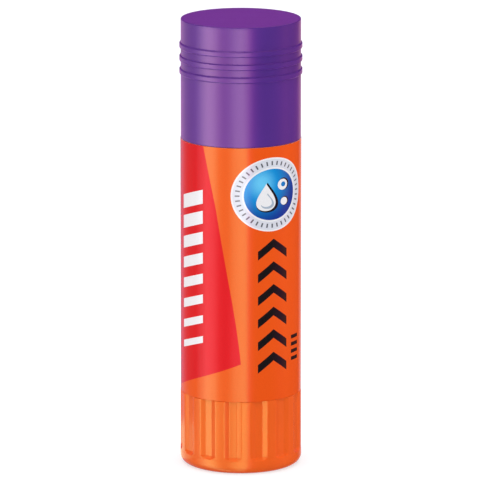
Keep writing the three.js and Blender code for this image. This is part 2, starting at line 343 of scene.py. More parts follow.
plasticBase = {
    "driftScale": 70, "driftShades": (0.95, 1.05), "waveDepth": 0.02 * mm,
    "grainScale": 2600, "grainShade": 0.96, "grainShare": 0.5, "grainDepth": 0.0004 * mm,
    # faint lines up the mould's draw
    "drawScale": 900, "drawStretch": (1, 1, 0.03), "drawRough": 0.03, "drawDepth": 0.002 * mm,
    "ior": 1.49, "specular": 0.5, "glossTint": (1, 1, 1),
    "haze": 0, "hazeRough": 0.35, "hazeTint": (1, 1, 1),  # a soft sheen at grazing angles
    "coat": 0, "coatIor": 1.3, "coatRough": 0.3,
    "depthGlow": 0, "glowRadius": (1, 0.4, 0.2), "glowScale": 1 * mm,
}
capPlastic = mouldedPlastic("capPlastic", dict(
    plasticBase, colour=(0.062, 0.0165, 0.224), rough=(0.305, 0.325), specular=0.56, glossTint=(1, 0.50, 0.50),
    coat=0.5, haze=0.22, hazeTint=(1, 0.18, 1),
))
tubePlastic = mouldedPlastic("tubePlastic", dict(
    plasticBase, colour=(0.73, 0.095, 0.012), rough=(0.19, 0.21), specular=0.45, glossTint=(0.5, 1, 0.30),
))
feedPlastic = mouldedPlastic("feedPlastic", dict(plasticBase, colour=(0.72, 0.71, 0.68), rough=(0.38, 0.48)))
glueWax = mouldedPlastic("glueWax", dict(
    plasticBase, colour=(0.74, 0.725, 0.66), rough=(0.42, 0.62), specular=0.4, driftScale=160,
    waveDepth=0.12 * mm, grainScale=1100, grainDepth=0.015 * mm,
    depthGlow=0.6, glowRadius=(1, 0.9, 0.7), glowScale=2.5 * mm,
))

filmLook = {
    "printScale": 5200, "printDepth": 0.0008 * mm, "printShade": (0.95, 0.93, 0.93, 1),
    "waveScale": 55, "waveStretch": (1, 1, 0.35), "waveDepth": 0.03 * mm, "waveShade": (0.97, 0.96, 0.96, 1),
    "rough": (0.11, 0.16),
}


def printedFilm(name, colour, tint=(1, 1, 1), specular=0.42, glow=None):
    material, tree, shader = newMaterial(name)
    wave = noise(tree, filmLook["waveScale"], 2, filmLook["waveStretch"])
    dots = noise(tree, filmLook["printScale"], 3)
    ground = shaded(colour)
    if glow:  # a printed blend out from a lit spot, through the ground colour, to a deep one
        coords = addNode(tree, "ShaderNodeTexCoord").outputs["Object"]
        away = addNode(tree, "ShaderNodeVectorMath", {0: coords, 1: glow["spot"]}, operation="DISTANCE")
        away = away.outputs["Value"]
        ground = blend(tree, smoothly(tree, away, *glow["litFade"]), shaded(glow["lit"]), ground)
        ground = blend(tree, smoothly(tree, away, *glow["deepFade"]), ground, shaded(glow["deep"]))
    ground = blend(tree, remap(tree, dots, *midSpan), ground, filmLook["printShade"], "MULTIPLY")
    setInputs(tree, shader, {
        "Base Color": blend(tree, remap(tree, wave, *midSpan), ground, filmLook["waveShade"], "MULTIPLY"),
        "Roughness": remap(tree, dots, *wideSpan, *filmLook["rough"]),
        "Normal": bumps(tree, (wave, filmLook["waveDepth"]), (dots, filmLook["printDepth"])),
        "Specular IOR Level": specular, "Specular Tint": shaded(tint),
    })
    return material


print("plastics ready")


# Geometry Nodes: one tree turns a profile round the axis, with flutes and rings by rule.
# A tree's inputs have the names of the pieces' own settings, so a piece's dictionary sets them.

mergeDistance = 0.002 * mm


def newTree(name, sizes):  # whole numbers become Int inputs, and the others Float
    tree = bpy.data.node_groups.new(name, "GeometryNodeTree")

    def addSocket(label, way, kind):
        return tree.interface.new_socket(name=label, in_out=way, socket_type="NodeSocket" + kind)

    addSocket("Geometry", "INPUT", "Geometry")
    addSocket("Geometry", "OUTPUT", "Geometry")
    for label, value in sizes.items():
        addSocket(label, "INPUT", "Int" if isinstance(value, int) else "Float").default_value = value
    addSocket("material", "INPUT", "Material")
    return tree, addNode(tree, "NodeGroupInput").outputs


def endTree(tree, geometry, material):  # instances made real, then the material, then out
    real = addNode(tree, "GeometryNodeRealizeInstances", {0: geometry}).outputs[0]
    smooth = addNode(tree, "GeometryNodeSetShadeSmooth", {0: real}).outputs[0]
    painted = addNode(tree, "GeometryNodeSetMaterial", {"Geometry": smooth, "Material": material}).outputs[0]
    addNode(tree, "NodeGroupOutput", {0: painted})


def numberedGrid(tree, rowCount, columnCount):  # a grid, with the row and the column that each point is in
    add, less, times, over = sums(tree)
    grid = addNode(tree, "GeometryNodeMeshGrid", {
        "Size X": 1.0, "Size Y": 1.0, "Vertices X": rowCount, "Vertices Y": columnCount,
    }).outputs["Mesh"]
    index = addNode(tree, "GeometryNodeInputIndex").outputs[0]
    row = calc(tree, "FLOOR", over(add(index, 0.5), columnCount))
    return grid, row, less(index, times(row, columnCount))


def pointCount(tree, profile):
    return addNode(tree, "GeometryNodeAttributeDomainSize", {0: profile}).outputs["Point Count"]


def sample(tree, profile, index, value, kind="FLOAT"):  # a value of the profile's point with that number
    inputs = {"Geometry": profile, "Value": value, "Index": index}
    return addNode(tree, "GeometryNodeSampleIndex", inputs, data_type=kind).outputs[0]


def samplePlace(tree, profile, index):
    position = addNode(tree, "GeometryNodeInputPosition").outputs[0]
    return separate(tree, sample(tree, profile, index, position, "FLOAT_VECTOR"))


def bendRound(tree, mesh, radius, angle, height):  # each point to its place round the stick, from the front
    times = partial(calc, tree, "MULTIPLY")
    x = times(radius, calc(tree, "SINE", angle))
    y = times(radius, times(calc(tree, "COSINE", angle), -1))
    position = combine(tree, x, y, height)
    return addNode(tree, "GeometryNodeSetPosition", {"Geometry": mesh, "Position": position}).outputs[0]


def closeSeams(tree, mesh):
    return addNode(tree, "GeometryNodeMergeByDistance", {"Geometry": mesh, "Distance": mergeDistance}).outputs[0]


def buildTurningTree():
    tree, given = newTree("turnedWall", {
        "facets": 192,
        "flutes": 1, "fluteDepth": 0.0, "fluteHalfAngle": 0.1, "fluteFlank": 0.5, "firstFlute": 0.0,
        "rings": 1, "ringPitch": 0.003, "ringWidth": 0.001, "ringSlope": 0.0002, "ringHeight": 0.0, "firstRing": 0.0,
    })
    add, less, times, over = sums(tree)
    lower, higher = partial(calc, tree, "MINIMUM"), partial(calc, tree, "MAXIMUM")
    profile = given["Geometry"]
    columns = add(given["facets"], 1)
    grid, row, column = numberedGrid(tree, pointCount(tree, profile), columns)
    angle = times(over(column, given["facets"]), 2 * math.pi)
    radius, _, height = samplePlace(tree, profile, row)

    def mask(attribute):
        layer = addNode(tree, "GeometryNodeInputNamedAttribute", {"Name": attribute}, data_type="FLOAT").outputs[0]
        return sample(tree, profile, row, layer)

    # Flutes: a flat floor in each one's middle and a straight flank on either side
    step = over(2 * math.pi, given["flutes"])
    turns = over(less(angle, given["firstFlute"]), step)
    offMiddle = times(less(turns, calc(tree, "ROUND", turns)), step)
    share = calc(tree, "ABSOLUTE", over(offMiddle, given["fluteHalfAngle"]))
    scoop = lower(over(less(1.0, share), given["fluteFlank"]), 1.0)
    scoop = higher(less(add(scoop, mask("fluteMask")), 1.0), 0.0)
    cut = times(scoop, given["fluteDepth"])

    # Rings: a smooth step up and down round each ring's middle height
    ringTurn = over(less(height, given["firstRing"]), given["ringPitch"])
    nearest = higher(lower(calc(tree, "ROUND", ringTurn), less(given["rings"], 1)), 0.0)
    offRing = times(calc(tree, "ABSOLUTE", less(ringTurn, nearest)), given["ringPitch"])
    outer = times(given["ringWidth"], 0.5)
    swell = smoothly(tree, offRing, outer, less(outer, given["ringSlope"]))
    raised = times(times(swell, mask("ringMask")), given["ringHeight"])

    wall = bendRound(tree, grid, add(less(radius, cut), raised), angle, height)
    endTree(tree, closeSeams(tree, wall), given["material"])
    return tree


turnedWall = buildTurningTree()


def shapeWith(tree, name, mesh, values):  # values that the tree has no input for are passed over
    source = placeObject(name + "Source", mesh)
    modifier = source.modifiers.new("shape", "NODES")
    modifier.node_group = tree
    for socket in tree.interface.items_tree:
        if socket.in_out == "INPUT" and socket.name in values:
            modifier[socket.identifier] = values[socket.name]
    result = bakedMesh(source)
    result.name = name
    return result


def masked(points, flute=0.0, ring=0.0):
    return [(radius, height, flute, ring) for radius, height in points]


def turnProfile(name, points, values):  # points (radius, height), some with masks, from the axis or closed
    mesh = bpy.data.meshes.new(name + "Profile")
    mesh.from_pydata([(p[0], 0, p[1]) for p in points], [(i, i + 1) for i in range(len(points) - 1)], [])
    for label, place in (("fluteMask", 2), ("ringMask", 3)):
        layer = mesh.attributes.new(label, "FLOAT", "POINT")
        for item, point in zip(layer.data, points):
            item.value = point[place] if len(point) > 2 else 0.0
    return shapeWith(turnedWall, name, mesh, values)


def handOver(name, mesh, body, replaced=()):
    piece = placeObject(name, mesh)
    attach(piece, body)
    if replaced:
        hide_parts(*replaced)
    print(name, len(mesh.polygons), "faces")


def makePiece(name, meshes, body, replaced=(), sharpAngle=40):
    shape = bmesh.new()
    for mesh in meshes:
        shape.from_mesh(mesh)
    faceOut(shape)
    result = finishMesh(shape, name)
    for material in meshes[0].materials:
        result.materials.append(material)
    result.shade_smooth()
    result.set_sharp_from_angle(angle=math.radians(sharpAngle))
    handOver(name, result, body, replaced)


# Cap

cap = {
    "rimRadius": 13.0 * mm, "topRadius": 12.98 * mm, "wall": 1.0 * mm, "crown": 1.3 * mm,
    "rimDrop": 0.06 * mm,  # narrows the gap to the label
    "topEdge": 0.16 * mm, "rimEdge": 0.12 * mm, "innerFillet": 0.6 * mm,
    "rings": 3, "ringPitch": 2.8 * mm, "ringWidth": 1.40 * mm, "ringSlope": 0.26 * mm, "ringHeight": 0.30 * mm,
    "topRingBelowTop": 5.78 * mm, "facets": 192, "ringRows": 110,
}


def buildCap():
    low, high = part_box("cap")
    rim, top = low.z - cap["rimDrop"], high.z
    rimRadius, topRadius = cap["rimRadius"], cap["topRadius"]
    inner = rimRadius - cap["wall"]
    crown = top - cap["crown"]
    fillet, topEdge, rimEdge = cap["innerFillet"], cap["topEdge"], cap["rimEdge"]
    topRing = top - cap["topRingBelowTop"]
    bottomRing = topRing - (cap["rings"] - 1) * cap["ringPitch"]
    ringLow, ringHigh = bottomRing - cap["ringWidth"], topRing + cap["ringWidth"]

    def wallAt(height):
        return rimRadius + (topRadius - rimRadius) * (height - rim) / (top - rim)

    points = [(0, crown)]
    points += arc(inner - fillet, crown - fillet, fillet, 90, 0)
    points += rows(inner, crown - fillet, inner, rim + rimEdge, 12)[1:]
    points += arc(inner + rimEdge, rim + rimEdge, rimEdge, 180, 270, 3)[1:]
    points += arc(rimRadius - rimEdge, rim + rimEdge, rimEdge, 270, 360, 3)
    points += rows(rimRadius, rim + rimEdge, wallAt(ringLow), ringLow, 20)[1:]
    points += masked(rows(wallAt(ringLow), ringLow, wallAt(ringHigh), ringHigh, cap["ringRows"])[1:], ring=1.0)
    points += rows(wallAt(ringHigh), ringHigh, topRadius, top - topEdge, 6)[1:]
    points += arc(topRadius - topEdge, top - topEdge, topEdge, 0, 90, 6)[1:]
    points += rows(topRadius - topEdge, top, 0, top, 8)[1:]
    mesh = turnProfile("capShell", points, dict(cap, firstRing=bottomRing, material=capPlastic))
    makePiece("capShell", [mesh], "cap", ["cap"])


buildCap()


# Turning knob

knob = {
    "ribInset": 0.13 * mm, "collarInset": 0.11 * mm, "collarTop": 2.95 * mm, "topEdge": 0.1 * mm,
    "stepLow": 0.08 * mm, "stepMiddle": 0.03 * mm,  # where the collar steps in to the ribs, below its top
    "labelGap": 0.11 * mm, "wall": 1.85 * mm, "floor": 1.6 * mm, "footEdge": 1.75 * mm, "footRing": 1.85 * mm,
    "footRecess": 0.5 * mm, "flutes": 14, "firstFlute": math.radians(-7.7), "fluteDepth": 0.50 * mm,
    "fluteHalfAngle": math.radians(8.5), "fluteFlank": 0.59, "runout": 0.8 * mm, "runoutRows": 24,
    "hubRadius": 5.2 * mm, "facets": 512,
    "socketSide": 4.7 * mm, "socketDepth": 10.0 * mm, "socketAbove": 1 * mm,  # for the screw's square tail
    "sliver": 1e-7,  # metres, for the thin faces that the cut leaves at the socket's corners
    "grooveStart": 0.85 * mm, "grooveWidth": 1.7 * mm, "grooveDepth": 0.3 * mm,  # holds the barrel's snap bead
}


def socketCut(mesh, top):  # the knob's mesh with the square socket sunk into its hub
    reshape(mesh, faceOut)
    block = squareBar(knob["socketSide"], top - knob["socketDepth"], top + knob["socketAbove"])
    cutter = placeObject("socketBlock", finishMesh(block, "socketBlock"))
    body = placeObject("knobBody", mesh)
    cut = body.modifiers.new("socket", "BOOLEAN")
    cut.operation, cut.solver, cut.object = "DIFFERENCE", "EXACT", cutter
    result = bakedMesh(body)
    bpy.data.objects.remove(cutter)
    reshape(result, lambda shape: bmesh.ops.remove_doubles(shape, verts=shape.verts, dist=knob["sliver"]))
    return result


def buildKnob():
    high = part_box("turning_knob")[1]
    rib, collar = high.x - knob["ribInset"], high.x - knob["collarInset"]
    hubTop = high.z
    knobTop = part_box("label")[0].z - knob["labelGap"]
    foot, recess, edge = knob["footEdge"], knob["footRecess"], knob["topEdge"]
    ringInner = collar - foot - knob["footRing"]
    inner = high.x - knob["wall"]
    floorTop = recess + knob["floor"]
    fluteStart, fluteEnd = knob["collarTop"], knob["collarTop"] + knob["runout"]
    depth = knob["grooveDepth"]
    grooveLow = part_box("barrel")[0].z + knob["grooveStart"]
    grooveHigh = grooveLow + knob["grooveWidth"]

    points = [(0, recess)]
    points += arc(ringInner - recess, 0, recess, 90, 0, 4)
    points += arc(collar - foot, foot, foot, 270, 360, 10)
    points += rows(collar, foot, collar, fluteStart - knob["stepLow"], 4)[1:]
    points += [(collar + (rib - collar) * 0.5, fluteStart - knob["stepMiddle"]), (rib, fluteStart)]
    for i in range(1, knob["runoutRows"] + 1):  # the flutes grow out of the collar with rounded ends
        share = i / knob["runoutRows"]
        points.append((rib, fluteStart + knob["runout"] * share, math.sin(share * math.pi / 2), 0))
    points += masked(rows(rib, fluteEnd, rib, knobTop - edge, 12)[1:], flute=1.0)
    points += masked(arc(rib - edge, knobTop - edge, edge, 0, 90, 4)[1:], flute=1.0)
    points += rows(rib - edge, knobTop, inner, knobTop, 2)[1:]
    points += [(inner, grooveHigh), (inner + depth, grooveHigh - depth)]
    points += [(inner + depth, grooveLow + depth), (inner, grooveLow), (inner, floorTop)]
    points += [(knob["hubRadius"], floorTop), (knob["hubRadius"], hubTop), (0, hubTop)]
    mesh = turnProfile("knobSkirt", points, dict(knob, material=tubePlastic))
    makePiece("knobSkirt", [socketCut(mesh, hubTop)], "knob", ["turning_knob"])


buildKnob()


# Barrel

barrel = {
    "radius": 13.0 * mm, "edge": 0.12 * mm, "neckWall": 0.9 * mm, "lipEdge": 0.3 * mm, "capGap": 1.2 * mm,
    "bodyLength": 55.9 * mm, "bodyRise": 5.8 * mm, "mouthChamfer": 0.1 * mm, "facets": 360,
    "spigotInset": 1.7 * mm, "spigotWall": 1.2 * mm, "holeRadius": 3.9 * mm, "floorRise": 8.1 * mm,
    "floor": 1.6 * mm, "snapHeight": 0.3 * mm, "snapWidth": 1.4 * mm, "snapPlace": 1.0 * mm, "snapRows": 12,
    # the two beads round the neck
    "rings": 2, "ringPitch": 6.4 * mm, "ringWidth": 0.9 * mm, "ringSlope": 0.25 * mm, "ringHeight": 0.1 * mm,
    "firstBead": 3.65 * mm,
    # the two rails in the bore, made as flutes that stand inwards
    "flutes": 2, "fluteDepth": 0.7 * mm, "fluteHalfAngle": math.radians(4.95), "fluteFlank": 0.11,
    "firstFlute": math.pi / 2, "railTop": 1.5 * mm, "railStep": 0.12 * mm,
}


def buildBarrel():
    low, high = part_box("barrel")
    seam = low.z + barrel["bodyRise"]
    shoulder = seam + barrel["bodyLength"]
    body, edge, lip = barrel["radius"], barrel["edge"], barrel["lipEdge"]
    neck = body - barrel["capGap"]
    bore = neck - barrel["neckWall"]
    spigot = body - barrel["spigotInset"]
    inner = spigot - barrel["spigotWall"]
    floor = low.z + barrel["floorRise"]
    floorTop = floor + barrel["floor"]
    railTop = high.z - barrel["railTop"]
    snap, snapWidth = low.z + barrel["snapPlace"], barrel["snapWidth"]
    hole, chamfer = barrel["holeRadius"], barrel["mouthChamfer"]

    points = [(inner, low.z), (spigot, low.z), (spigot, snap)]
    middle, reach = snap + snapWidth / 2, snapWidth / 2
    for i in range(1, barrel["snapRows"]):
        turn = math.pi * i / barrel["snapRows"]
        points.append((spigot + barrel["snapHeight"] * math.sin(turn), middle - reach * math.cos(turn)))
    points += [(spigot, snap + snapWidth), (spigot, seam)]
    points += arc(body - edge, seam + edge, edge, 270, 360, 4)
    points += rows(body, seam + edge, body, shoulder - edge, 8)[1:]
    points += arc(body - edge, shoulder - edge, edge, 0, 90, 4)[1:]
    points += [(neck, shoulder)]
    points += masked(rows(neck, shoulder, neck, high.z - lip, 90)[1:], ring=1.0)
    points += arc(neck - lip, high.z - lip, lip, 0, 90, 6)[1:]
    points += [(bore + chamfer, high.z), (bore, high.z - chamfer), (bore, railTop + barrel["railStep"])]
    points += masked(rows(bore, railTop, bore, floorTop, 10), flute=1.0)
    points += [(hole, floorTop), (hole, floor), (inner, floor), (inner, low.z)]
    firstRing = shoulder + barrel["firstBead"]
    mesh = turnProfile("barrelTube", points, dict(barrel, firstRing=firstRing, material=tubePlastic))
    makePiece("barrelTube", [mesh], "barrel", ["barrel"])


buildBarrel()


# Lead screw, with a left-hand thread of two starts

def buildThreadTree():
    tree, given = newTree("helicalRidge", {
        "starts": 2, "turns": 9.0, "steps": 300, "lead": 0.006, "fade": 0.2, "top": 0.08, "rootRadius": 0.002,
    })
    add, less, times, over = sums(tree)
    profile = given["Geometry"]
    grid, step, corner = numberedGrid(tree, given["steps"], pointCount(tree, profile))
    turn = times(over(step, less(given["steps"], 1)), given["turns"])
    toEnd = calc(tree, "MINIMUM", turn, less(given["turns"], turn))
    full = smoothly(tree, toEnd, 0.0, given["fade"])
    radius, _, rise = samplePlace(tree, profile, corner)
    out = add(given["rootRadius"], times(less(radius, given["rootRadius"]), full))
    height = add(less(given["top"], times(turn, given["lead"])), times(rise, full))
    ridge = bendRound(tree, grid, out, times(turn, 2 * math.pi), height)
    starts = addNode(tree, "GeometryNodeMeshLine", {"Count": given["starts"], "Offset": (0, 0, 0)}).outputs[0]
    index = addNode(tree, "GeometryNodeInputIndex").outputs[0]
    copies = addNode(tree, "GeometryNodeInstanceOnPoints", {
        "Points": starts, "Instance": closeSeams(tree, ridge),
        "Rotation": combine(tree, z=times(index, over(2 * math.pi, given["starts"]))),
    }).outputs[0]
    endTree(tree, copies, given["material"])
    return tree


screw = {
    "coreRadius": 2.4 * mm, "crestRadius": 3.3 * mm, "lead": 6.0 * mm, "crestWidth": 0.62 * mm,
    "rootWidth": 1.98 * mm, "rootSink": 0.1 * mm, "starts": 2, "fade": 0.16, "stepsPerTurn": 40,
    "tip": 1.0 * mm, "tipChamfer": 0.4 * mm, "threadStart": 0.6 * mm, "coreFillet": 0.5 * mm,
    "journalRadius": 3.6 * mm, "journalLength": 2.05 * mm, "flangeLift": 0.2 * mm, "flangeRadius": 5.6 * mm,
    "flangeThickness": 1.2 * mm, "flangeEdge": 0.2 * mm, "tailSide": 4.4 * mm, "tailEdge": 0.35 * mm,
    "tailInside": 0.5 * mm,  # how far the square tail runs up into the journal
    "facets": 64,
}


def buildScrew():
    low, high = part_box("lead_screw")
    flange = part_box("barrel")[0].z + barrel["floorRise"] + barrel["floor"] + screw["flangeLift"]
    flangeTop = flange + screw["flangeThickness"]
    journal, journalLow = screw["journalRadius"], flange - screw["journalLength"]
    core, edge, fillet, chamfer = (screw[name] for name in ("coreRadius", "flangeEdge", "coreFillet", "tipChamfer"))
    rim = screw["flangeRadius"] - edge
    points = [(0, journalLow), (journal, journalLow), (journal, flange)]
    points += arc(rim, flange + edge, edge, 270, 360, 4)
    points += arc(rim, flangeTop - edge, edge, 0, 90, 4)
    points += arc(core + fillet, flangeTop + fillet, fillet, 270, 180, 5)
    points += rows(core, flangeTop + fillet, core, high.z - chamfer, 12)[1:]
    points += [(core - chamfer, high.z), (0, high.z)]
    coreMesh = turnProfile("screwCore", points, dict(screw, material=feedPlastic))

    sunk = core - screw["rootSink"]
    crest, halfCrest, halfRoot = screw["crestRadius"], screw["crestWidth"] / 2, screw["rootWidth"] / 2
    corners = [(sunk, -halfRoot), (crest, -halfCrest), (crest, halfCrest), (sunk, halfRoot), (sunk, -halfRoot)]
    ridge = bpy.data.meshes.new("ridgeProfile")
    ridge.from_pydata([(radius, 0, height) for radius, height in corners], [(i, i + 1) for i in range(4)], [])
    ridgeTop = high.z - screw["tip"]
    turns = (ridgeTop - flangeTop - screw["threadStart"]) / screw["lead"]
    ridgeMesh = shapeWith(buildThreadTree(), "screwThread", ridge, dict(
        screw, turns=turns, steps=round(turns * screw["stepsPerTurn"]), top=ridgeTop, rootRadius=sunk,
        material=feedPlastic,
    ))
    tail = squareBar(screw["tailSide"], low.z, journalLow + screw["tailInside"])
    bmesh.ops.bevel(tail, geom=tail.edges[:], offset=screw["tailEdge"], segments=3, affect="EDGES")
    meshes = [coreMesh, ridgeMesh, finishMesh(tail, "tail")]
    makePiece("leadScrew", meshes, "knob", ["lead_screw"])


buildScrew()


# Glue carrier and glue, both with a notch for each rail of the barrel

glueCup = {
    "wall": 0.8 * mm, "floor": 1.6 * mm, "hubRadius": 4.9 * mm, "hubRise": 8.0 * mm, "lipEdge": 0.3 * mm,
    "threadBore": 3.5 * mm, "boreChamfer": 0.2 * mm, "rimEdge": 0.12 * mm, "facets": 360,
    "flutes": barrel["flutes"], "fluteDepth": 0.9 * mm, "fluteHalfAngle": math.radians(5.8), "fluteFlank": 0.11,
    "firstFlute": barrel["firstFlute"],
    "notchReach": 2.2 * mm,  # how far in from the outside the notches have died away, across the bottom
    "notchReachInside": 1.4 * mm,  # and the same from the cup's inner wall
    "glueEdge": 0.8 * mm, "glueNotchReach": 0.9 * mm, "seat": 0.05 * mm, "holeRadius": 3.55 * mm,
    "holeHeadroom": 0.25 * mm, "dish": 0.12 * mm, "dishRows": 12,
}


def buildCarrier():
    low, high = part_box("glue_carrier")
    outer, bottom, top = high.y, low.z, high.z
    inner = outer - glueCup["wall"]
    floor, hub, hubTop = bottom + glueCup["floor"], glueCup["hubRadius"], bottom + glueCup["hubRise"]
    bore, edge, lip, chamfer = (glueCup[name] for name in ("threadBore", "rimEdge", "lipEdge", "boreChamfer"))
    points = [(bore, hubTop - chamfer), (bore, bottom + chamfer), (bore + chamfer, bottom)]
    points += [(outer - glueCup["notchReach"], bottom)]
    notched = arc(outer - lip, bottom + lip, lip, 270, 360, 4)
    notched += rows(outer, bottom + lip, outer, top - edge, 6)[1:]
    notched += arc(outer - edge, top - edge, edge, 0, 90, 3)[1:]
    notched += [(inner, top), (inner, floor)]
    points += masked(notched, flute=1.0)
    points += [(inner - glueCup["notchReachInside"], floor), (hub, floor), (hub, hubTop)]
    points += [(bore + chamfer, hubTop), (bore, hubTop - chamfer)]
    mesh = turnProfile("glueCarrier", points, dict(glueCup, material=feedPlastic))
    makePiece("glueCarrier", [mesh], "carrier", ["glue_carrier"])


def buildGlue():
    low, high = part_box("glue")
    cupLow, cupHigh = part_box("glue_carrier")
    seat = glueCup["seat"]
    cupTop, hubTop = cupHigh.z + seat, cupLow.z + glueCup["hubRise"] + seat
    outer = high.y
    inner = outer - glueCup["wall"] - seat
    hub, hole, edge = glueCup["hubRadius"] + seat, glueCup["holeRadius"], glueCup["glueEdge"]
    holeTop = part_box("lead_screw")[1].z + glueCup["holeHeadroom"]
    face = outer - edge - glueCup["glueNotchReach"]
    points = [(0, holeTop), (hole, holeTop), (hole, hubTop), (hub, hubTop), (hub, low.z)]
    points += [(inner - glueCup["notchReachInside"], low.z)]
    notched = [(inner, low.z), (inner, cupTop), (outer, cupTop)]
    notched += rows(outer, cupTop, outer, high.z - edge, 16)[1:]
    notched += arc(outer - edge, high.z - edge, edge, 0, 90, 6)[1:]
    points += masked(notched, flute=1.0)
    points += [(face, high.z)]
    for i in range(1, glueCup["dishRows"] + 1):  # the cast face has sunk a little towards the middle
        share = 1 - i / glueCup["dishRows"]
        points.append((face * share, high.z - glueCup["dish"] * (1 - share * share)))
    mesh = turnProfile("glueBlock", points, dict(glueCup, material=glueWax))
    makePiece("glueBlock", [mesh], "carrier", ["glue"])


buildCarrier()
buildGlue()


# Label: the print is laid out flat, as azimuth times radius against height, then wrapped

label = {
    "radius": 13.10 * mm, "backRadius": 13.02 * mm,
    "topRise": 0.07 * mm, "bottomDrop": 0.06 * mm,  # they narrow the gaps to the cap and the knob
    "strip": 3.0,  # degrees round that each flat strip of the film takes
    "seamStart": -179.6, "flapWidth": 8.0, "flapRise": 0.05 * mm, "flapStep": 0.6 * mm,  # the lap at the back
    "panelLow": (112, 27 * mm), "panelHigh": (160, 61 * mm), "panelCorner": 1.2 * mm,  # the pale panel behind
    "join": 1e-5,  # mm within which outlines share a point
    "edgeReach": 1e-7,  # metres within which a point is on the film's edge
}
badge = {
    "azimuth": 30.9, "height": 61.7 * mm, "outer": 8.07 * mm, "pale": 7.75 * mm, "inner": 5.95 * mm,
    "disc": 5.6 * mm, "stretch": 1.15, "sides": 96,
    "glowAside": 11, "glowRise": 2.6 * mm,  # degrees left of the middle and height above it
}
# The red panel's edge as (azimuth in degrees, height in mm), from the top of the label down and back
panelEdge = [
    (-38.2, 72.2), (-34.9, 69.1), (-31.7, 66.0), (-28.3, 62.7), (-24.1, 58.4), (-19.1, 51.9), (-13.2, 44.4),
    (-8.4, 38.4), (-5.0, 33.7), (-2.0, 28.8), (0.0, 24.6), (-12.0, 23.5), (-28.3, 22.1), (-50.0, 20.3),
    (-77.3, 18.0), (-92.0, 16.2), (-166.0, 16.2), (-166.0, 72.2),
]


def roundStick(turn, radius, height):
    return (radius * math.sin(turn), -radius * math.cos(turn), height)


glowTurn = math.radians(badge["azimuth"] - badge["glowAside"])
badgeGlow = {  # the fades are distances from the spot
    "spot": roundStick(glowTurn, label["radius"], badge["height"] + badge["glowRise"]),
    "lit": (0.12, 0.52, 0.83), "litFade": (0.4 * mm, 4.2 * mm),
    "deep": (0.006, 0.035, 0.27), "deepFade": (2.94 * mm, 9.0 * mm),
}
inks = {
    "orange": {"colour": (0.74, 0.083, 0.008), "tint": (0.55, 0.72, 0.28)},
    "red": {"colour": (0.62, 0.008, 0.013), "tint": (1, 0.22, 0.24), "specular": 0.34},
    "white": {"colour": (0.74, 0.76, 0.79)},
    "pale": {"colour": (0.60, 0.64, 0.72)},
    "blue": {"colour": (0.004, 0.25, 0.62), "tint": (0.4, 0.7, 1), "glow": badgeGlow},
    "silver": {"colour": (0.34, 0.42, 0.52)},
    "ink": {"colour": (0.010, 0.008, 0.009)},
    "tick": {"colour": (0.10, 0.11, 0.13)},
}
films = {name: printedFilm("print" + name.capitalize(), **ink) for name, ink in inks.items()}
labelInks = [name for name in inks if name != "tick"]  # only the raised marks have ticks


def circle(centre, radius, sides):
    angles = [2 * math.pi * i / sides for i in range(sides)]
    return [(centre[0] + radius * math.cos(a), centre[1] + radius * math.sin(a)) for a in angles]


def drop(centre, width, height, sides):  # a drop that stands on its round end
    fullness, point = 0.77, 1.5  # they bring it to the width, and draw the top out
    outline = []
    for i in range(sides):
        turn = 2 * math.pi * i / sides
        outline.append((
            centre[0] + width * fullness * math.sin(turn) * math.sin(turn / 2) ** point,
            centre[1] + height / 2 * math.cos(turn),
        ))
    return outline


def roundedPanel(low, high, corner):
    outline = []
    for x, y, start in ((1, 1, 0), (0, 1, 90), (0, 0, 180), (1, 0, 270)):
        middle = (low[0] + corner, high[0] - corner)[x], (low[1] + corner, high[1] - corner)[y]
        outline += arc(middle[0], middle[1], corner, start, start + 90, 6)
    return outline


def labelRegions():  # each printed area as an ink and an outline, from the bottom layer up
    def flat(degrees, height):
        return (math.radians(degrees) * label["radius"], height)

    def disc(x, y, radius, sides=badge["sides"]):
        return circle((x * mm, y * mm), radius, sides)

    def tear(x, y, width, height, sides):
        return drop((x * mm, y * mm), width * mm, height * mm, sides)

    badgeParts = [
        ("white", disc(0, 0, badge["outer"])),
        ("pale", disc(0, 0, badge["pale"])),
        ("white", disc(0, 0, badge["inner"])),
        ("blue", disc(0, 0, badge["disc"])),
        ("ink", tear(-0.95, -0.55, 4.3, 6.6, 48)),
        ("white", tear(-1.25, -0.5, 3.7, 6.0, 48)),
        ("silver", tear(-0.95, -1.35, 2.5, 3.4, 36)),
        ("white", tear(-1.2, -1.15, 2.1, 2.9, 36)),
        ("ink", disc(2.65, 2.0, 1.35 * mm, 32)),
        ("white", disc(2.45, 1.9, 1.2 * mm, 32)),
        ("blue", disc(2.6, 1.95, 0.55 * mm, 24)),
        ("ink", disc(2.95, -1.75, 1.0 * mm, 28)),
        ("white", disc(2.8, -1.8, 0.85 * mm, 28)),
    ]
    middle = flat(badge["azimuth"], badge["height"])
    stretched = [
        (name, [(middle[0] + x * badge["stretch"], middle[1] + y) for x, y in outline])
        for name, outline in badgeParts
    ]
    return [
        ("red", [flat(a, h * mm) for a, h in panelEdge]),
        ("pale", roundedPanel(flat(*label["panelLow"]), flat(*label["panelHigh"]), label["panelCorner"])),
    ] + stretched


def clockwise(outline):
    area = sum(a[0] * b[1] - b[0] * a[1] for a, b in zip(outline, outline[1:] + outline[:1]))
    return area < 0


